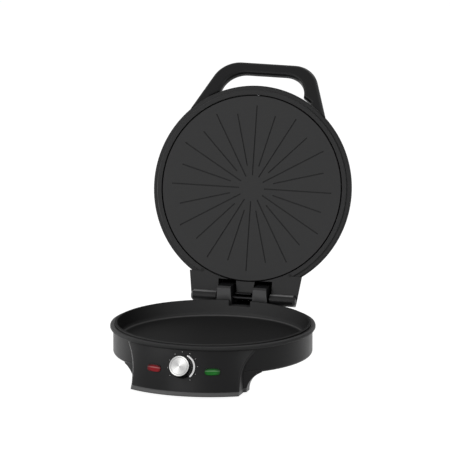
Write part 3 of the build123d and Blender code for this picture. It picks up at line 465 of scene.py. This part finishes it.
# Lid frame. One satin black heat-proof moulding: the flange round the plate, and
# the hinge block with two pockets for the knuckles, painted black as shade. The
# top of the block's round barrel has a pale line, a painted highlight.

lid_lean = radians(14)
into_room = Vector((0, -cos(lid_lean), sin(lid_lean)))
pocket_mouth = -0.0925
pocket_floor = -0.097
pockets_half_width = 0.0445
pockets_top = 0.125
barrel_top = 0.096
frame_black = (0.0105, 0.0105, 0.011, 1)
barrel_highlight = (0.3, 0.3, 0.302, 1)

frame_plastic = finish_with(
    grain, "frame_plastic", specular=0.22, Grain_Scale=1400, Grain_Depth=0.2,
    Roughness=0.42, Handling=0.06, Edge_Polish=1.0)
tree = frame_plastic.node_tree
shader = tree.nodes["Principled BSDF"]
surface = tree.nodes["surface"]
place = by_axis(tree, object_place(tree))
facing = tree.nodes.new("ShaderNodeTexCoord").outputs["Normal"]
depth = vector_node(tree, "DOT_PRODUCT", object_place(tree), into_room)["Value"]
inner_side = vector_node(tree, "DOT_PRODUCT", facing, into_room)["Value"]
between = math_node(
    tree, "LESS_THAN", math_node(tree, "ABSOLUTE", place["X"]), pockets_half_width)
low_down = math_node(tree, "LESS_THAN", place["Z"], pockets_top)
not_the_back = math_node(tree, "GREATER_THAN", inner_side, -0.3)
# Painted shade: the pockets are made a black metal, which shows no light.
pocket_shade = ramp(tree, depth, pocket_mouth, pocket_floor)
for condition in (between, low_down, not_the_back):
    pocket_shade = math_node(tree, "MULTIPLY", pocket_shade, condition)
tree.links.new(pocket_shade, shader.inputs["Metallic"])
elsewhere = math_node(tree, "SUBTRACT", 1.0, pocket_shade)
tree.links.new(dimmed(tree, surface.outputs["Colour"], elsewhere), shader.inputs["Base Color"])
beside_pockets = math_node(tree, "SUBTRACT", 1.0, between)
under_block = math_node(tree, "LESS_THAN", place["Z"], barrel_top)
# Painted highlight: upward faces of the barrel below the block are pale.
crest_highlight = ramp(tree, by_axis(tree, facing)["Z"], 0.8, 0.9)
for condition in (under_block, beside_pockets):
    crest_highlight = math_node(tree, "MULTIPLY", crest_highlight, condition)
tree.links.new(blend(tree, crest_highlight, frame_black, barrel_highlight), surface.inputs["Colour"])
dress(frame_plastic, "lid_frame", "hinge_caps")


# Lid cover. The domed outer shell, a smoother and glossier moulding. The middle
# of its crown is shaded flat, where the faces of the dome meet in one point.

crown_reach = 0.014
crown_middle = max(
    (vertex.co for vertex in nodes["lid_cover"].data.vertices),
    key=(-into_room).dot).copy()

cover_plastic = finish_with(
    grain, "cover_plastic", specular=0.45,
    Colour=(0.0105, 0.0105, 0.011, 1), Grain_Scale=1800, Grain_Depth=0.08,
    Roughness=0.3, Handling=0.08, Edge_Polish=0.6)
tree = cover_plastic.node_tree
shader = tree.nodes["Principled BSDF"]
surface = tree.nodes["surface"]
from_crown = vector_node(tree, "DISTANCE", object_place(tree), crown_middle)["Value"]
flattened = tree.nodes.new("ShaderNodeMix")
flattened.data_type = "VECTOR"
tree.links.new(math_node(tree, "LESS_THAN", from_crown, crown_reach),
               flattened.inputs["Factor"])
tree.links.new(surface.outputs["Normal"], flattened.inputs["A"])
tree.links.new(tree.nodes.new("ShaderNodeNewGeometry").outputs["True Normal"],
               flattened.inputs["B"])
tree.links.new(flattened.outputs["Result"], shader.inputs["Normal"])
dress(cover_plastic, "lid_cover")


# Handle. A bail in satin black plastic, moulded as an upper and a lower half that
# meet along its middle. Both end against the side of the lid's cover.

handle_plastic = finish_with(
    grain, "handle_plastic", specular=0.18,
    Colour=(0.005, 0.005, 0.0055, 1), Grain_Scale=1400, Grain_Depth=0.22,
    Roughness=0.4, Handling=0.1, Edge_Polish=0.8)
dress(handle_plastic, "handle_upper", "handle_lower")


# Dial. A black knob with a spun aluminium disc let into its face, which leans back
# 19 degrees with the console. The cutting tool leaves fine rings, and bright and
# dark sectors, fixed in the room, are painted into the disc's colour as painted reflection.

dial_centre = Vector((0, -0.239085, 0.0475))
dial_tilt = 0.32959
dial_lean = radians(90) - dial_tilt
dial_axis = (0, -cos(dial_tilt), sin(dial_tilt))
painted_bright_way = (0.53, 0.27, 0.8)

knob_plastic = finish_with(
    grain, "knob_plastic", specular=0.04,
    Colour=(0.0025, 0.0025, 0.0027, 1), Grain_Scale=2200, Grain_Depth=0.08,
    Roughness=0.28, Handling=0.05, Edge_Polish=0.7)
dress(knob_plastic, "knob_body")

spun_aluminium, tree, shader = new_finish("spun_aluminium")
shader.inputs["Metallic"].default_value = 1.0
shader.inputs["Roughness"].default_value = 0.26
shader.inputs["Anisotropic"].default_value = 0.7
on_axis = tree.nodes.new("ShaderNodeMapping")
on_axis.vector_type = "TEXTURE"
on_axis.inputs["Location"].default_value = dial_centre
on_axis.inputs["Rotation"].default_value = (dial_lean, 0, 0)
tree.links.new(object_place(tree), on_axis.inputs["Vector"])
across = by_axis(tree, on_axis.outputs[0])
flat = tree.nodes.new("ShaderNodeCombineXYZ")
tree.links.new(across["X"], flat.inputs["X"])
tree.links.new(across["Y"], flat.inputs["Y"])
ring_place = tree.nodes.new("ShaderNodeCombineXYZ")
tree.links.new(vector_node(tree, "LENGTH", flat.outputs[0])["Value"], ring_place.inputs["X"])
rings = noise(tree, ring_place.outputs[0], 6000.0, 3.0)
tree.links.new(relief(tree, rings, 0.25, 0.00005).outputs[0], shader.inputs["Normal"])
outward = vector_node(tree, "SUBTRACT", object_place(tree), dial_centre)["Vector"]
around = vector_node(tree, "CROSS_PRODUCT", dial_axis, outward)["Vector"]
tree.links.new(around, shader.inputs["Tangent"])
in_room = tree.nodes.new("ShaderNodeVectorTransform")
in_room.vector_type = "VECTOR"
in_room.convert_from = "OBJECT"
in_room.convert_to = "WORLD"
tree.links.new(around, in_room.inputs[0])
along = vector_node(tree, "NORMALIZE", in_room.outputs[0])["Vector"]
# Painted reflection: the disc is paler where its rings run across one fixed way in the room.
dull = math_node(
    tree, "ABSOLUTE", vector_node(tree, "DOT_PRODUCT", along, painted_bright_way)["Value"])
painted_sectors_and_rings = math_node(tree, "MULTIPLY", math_node(tree, "SUBTRACT", 1.0, dull), 0.75)
painted_sectors_and_rings = math_node(tree, "ADD", painted_sectors_and_rings, math_node(tree, "MULTIPLY", rings, 0.35))
disc_tone = blend(tree, painted_sectors_and_rings, (0.17, 0.17, 0.17, 1), (0.49, 0.49, 0.48, 1))
tree.links.new(disc_tone, shader.inputs["Base Color"])
dress(spun_aluminium, "knob_cap")


# Signal lamps. Tinted polystyrene lenses, red and green, darker towards the rim,
# with upright prisms and a pale streak across the top, a painted highlight.
# Places on a lens count from its middle, in halves of its width and height.

lens_half_width = 0.0135
lens_half_height = 0.0062
streak_height = 0.36


def tinted_lens(name, node, colour, streak_colour):
    """A lens material laid out about the middle of its node."""
    material, tree, shader = new_finish(name)
    shader.inputs["Roughness"].default_value = 0.2
    shader.inputs["Specular IOR Level"].default_value = 0.15
    across = tree.nodes.new("ShaderNodeMapping")
    across.vector_type = "TEXTURE"
    across.inputs["Location"].default_value = box_middle(node)
    across.inputs["Scale"].default_value = (lens_half_width, 1.0, lens_half_height)
    tree.links.new(object_place(tree), across.inputs["Vector"])
    from_middle = vector_node(tree, "LENGTH", across.outputs[0])["Value"]
    rim_darkening = ramp(tree, from_middle, 0.55, 1.05, low=1.0, high=0.12)
    prisms = tree.nodes.new("ShaderNodeTexWave")
    prisms.bands_direction = "X"
    prisms.inputs["Scale"].default_value = 260
    prisms.inputs["Distortion"].default_value = 0
    tree.links.new(object_place(tree), prisms.inputs["Vector"])
    deep = (*(0.6 * part for part in colour), 1)
    tint = blend(tree, prisms.outputs["Fac"], deep, (*colour, 1))
    height = by_axis(tree, across.outputs[0])["Z"]
    # Painted highlight: a pale streak across the top of the lens.
    from_streak = math_node(tree, "ABSOLUTE", math_node(tree, "SUBTRACT", height, streak_height))
    painted_streak = math_node(tree, "SUBTRACT", 1.0, math_node(tree, "MULTIPLY", from_streak, 5.0))
    painted_streak = math_node(tree, "MULTIPLY", math_node(tree, "MAXIMUM", painted_streak, 0.0), 0.6)
    tint = blend(tree, painted_streak, tint, (*streak_colour, 1))
    tree.links.new(dimmed(tree, tint, rim_darkening), shader.inputs["Base Color"])
    ridges = relief(tree, prisms.outputs["Fac"], 0.3, 0.0003)
    tree.links.new(ridges.outputs[0], shader.inputs["Normal"])
    dress(material, node)


tinted_lens("red_lens", "red_lamp_lens", (0.5, 0.014, 0.024), (0.8, 0.4, 0.4))
tinted_lens("green_lens", "green_lamp_lens", (0.008, 0.27, 0.02), (0.35, 0.7, 0.35))


# Printing round the dial. White ink straight on the console: a crescent that
# widens towards the hot end, and small dots for the steps.

crescent_outer = 0.0207
crescent_inner = 0.0192
crescent_shift = -0.0013
crescent_ends = (radians(72), radians(132))
step_count = 10
first_step = radians(216)
step_angle = radians(30)
step_circle = 0.0245
step_radius = 0.0004
print_stand_off = 0.004
ink_lift = 0.0001
ink_thickness = 0.00006

ink, tree, shader = new_finish("white_ink")
shader.inputs["Roughness"].default_value = 0.55
# Painted light: the ink glows a little, so it stays bright.
shader.inputs["Emission Color"].default_value = (1, 1, 1, 1)
shader.inputs["Emission Strength"].default_value = 0.4
worn = blend(tree, noise(tree, object_place(tree), 900.0, 3.0),
             (0.8, 0.8, 0.8, 1), (0.95, 0.95, 0.94, 1))
tree.links.new(worn, shader.inputs["Base Color"])


def printed(name, shape):
    """Lays a flat shape, drawn round the dial, onto the console as ink."""
    before_console = Matrix.Translation(dial_centre) @ Matrix.Rotation(dial_lean, 4, "X")
    bmesh.ops.transform(shape, matrix=before_console, verts=shape.verts)
    bmesh.ops.translate(shape, verts=shape.verts, vec=(0, -print_stand_off, 0))
    mesh = bpy.data.meshes.new(name)
    shape.to_mesh(mesh)
    shape.free()
    loose = bpy.data.objects.new(name, mesh)
    bpy.context.scene.collection.objects.link(loose)
    press = loose.modifiers.new("press", "SHRINKWRAP")
    press.target = nodes["front_console"]
    press.wrap_method = "PROJECT"
    press.use_project_y = True
    press.use_negative_direction = False
    press.use_positive_direction = True
    press.offset = ink_lift
    film = loose.modifiers.new("film", "SOLIDIFY")
    film.thickness = ink_thickness
    pressed = bpy.data.meshes.new_from_object(
        loose.evaluated_get(bpy.context.evaluated_depsgraph_get()))
    loose.modifiers.clear()
    loose.data = pressed
    loose.data.materials.append(ink)
    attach(loose, "base")


crescent = bmesh.new()
bmesh.ops.create_circle(crescent, segments=200, radius=crescent_outer)
inner_ring = bmesh.ops.create_circle(crescent, segments=200, radius=crescent_inner)
bmesh.ops.translate(crescent, verts=inner_ring["verts"], vec=(crescent_shift, 0, 0))
bmesh.ops.bridge_loops(crescent, edges=crescent.edges)
for end in crescent_ends:
    bmesh.ops.bisect_plane(
        crescent, geom=crescent.verts[:] + crescent.edges[:] + crescent.faces[:],
        plane_co=(0, 0, 0), plane_no=(-sin(end), cos(end), 0), clear_outer=True)
printed("heat_crescent", crescent)

steps = bmesh.new()
for index in range(step_count):
    angle = first_step - step_angle * index
    dot = bmesh.ops.create_circle(steps, cap_ends=True, segments=16, radius=step_radius)
    bmesh.ops.translate(
        steps, verts=dot["verts"], vec=(step_circle * cos(angle), step_circle * sin(angle), 0))
printed("heat_steps", steps)


# Heaters, shields and hardware. Tubular heaters held by straps, galvanised sheet
# that keeps their heat on the plates, and plated steel posts and screws.

def metal(name, colour, roughness, grain_scale, spread):
    """Plain bright metal with a faint drawn or spangled surface."""
    material, tree, shader = new_finish(name)
    shader.inputs["Metallic"].default_value = 1.0
    marks = noise(tree, object_place(tree), grain_scale, 4.0)
    darker = (*(part * (1 - spread) for part in colour), 1)
    brighter = (*(part * (1 + spread) for part in colour), 1)
    tree.links.new(blend(tree, marks, darker, brighter), shader.inputs["Base Color"])
    rough = math_node(tree, "ADD", math_node(tree, "MULTIPLY", marks, 0.2), roughness - 0.1)
    tree.links.new(rough, shader.inputs["Roughness"])
    return material


dress(metal("heater_sheath", (0.22, 0.21, 0.2), 0.45, 300, 0.3),
      "lower_element", "upper_element")
dress(metal("galvanised_sheet", (0.58, 0.58, 0.57), 0.42, 120, 0.15),
      "lower_heat_shield", "upper_heat_shield", "bottom_cover",
      "lower_element_clamps", "upper_element_clamps", "thermostat_bracket")
dress(metal("plated_steel", (0.56, 0.56, 0.57), 0.28, 500, 0.1),
      "bottom_screws", "cover_screws", "bracket_screws", "lid_screws", "pan_posts",
      "thermal_fuse")
dress(metal("ground_steel", (0.6, 0.6, 0.61), 0.22, 900, 0.08), "knob_shaft")
dress(metal("blackened_steel", (0.022, 0.022, 0.023), 0.4, 700, 0.2),
      "hinge_pin", "plate_clips")


# Rubber parts. The feet, the two stops on the lid's flange and the bush for the
# lead, pressed into their holes.

rubber = finish_with(
    grain, "black_rubber", specular=0.25,
    Colour=(0.02, 0.02, 0.02, 1), Grain_Scale=1000, Grain_Depth=0.35,
    Roughness=0.7, Handling=0.1, Edge_Polish=0.4)
dress(rubber, "front_feet", "rear_feet", "lid_buffers", "cord_gland")


# Insulators. The lamp holders, the terminal block and the body of the thermostat,
# in a pale nylon or ceramic with no painted highlight on its edges.

pale_nylon = finish_with(
    grain, "pale_nylon", specular=0.4,
    Colour=(0.6, 0.57, 0.48, 1), Grain_Scale=900, Grain_Depth=0.15,
    Roughness=0.5, Handling=0.1, Edge_Polish=0.0)
dress(pale_nylon, "lamp_holders", "terminal_block", "thermostat")
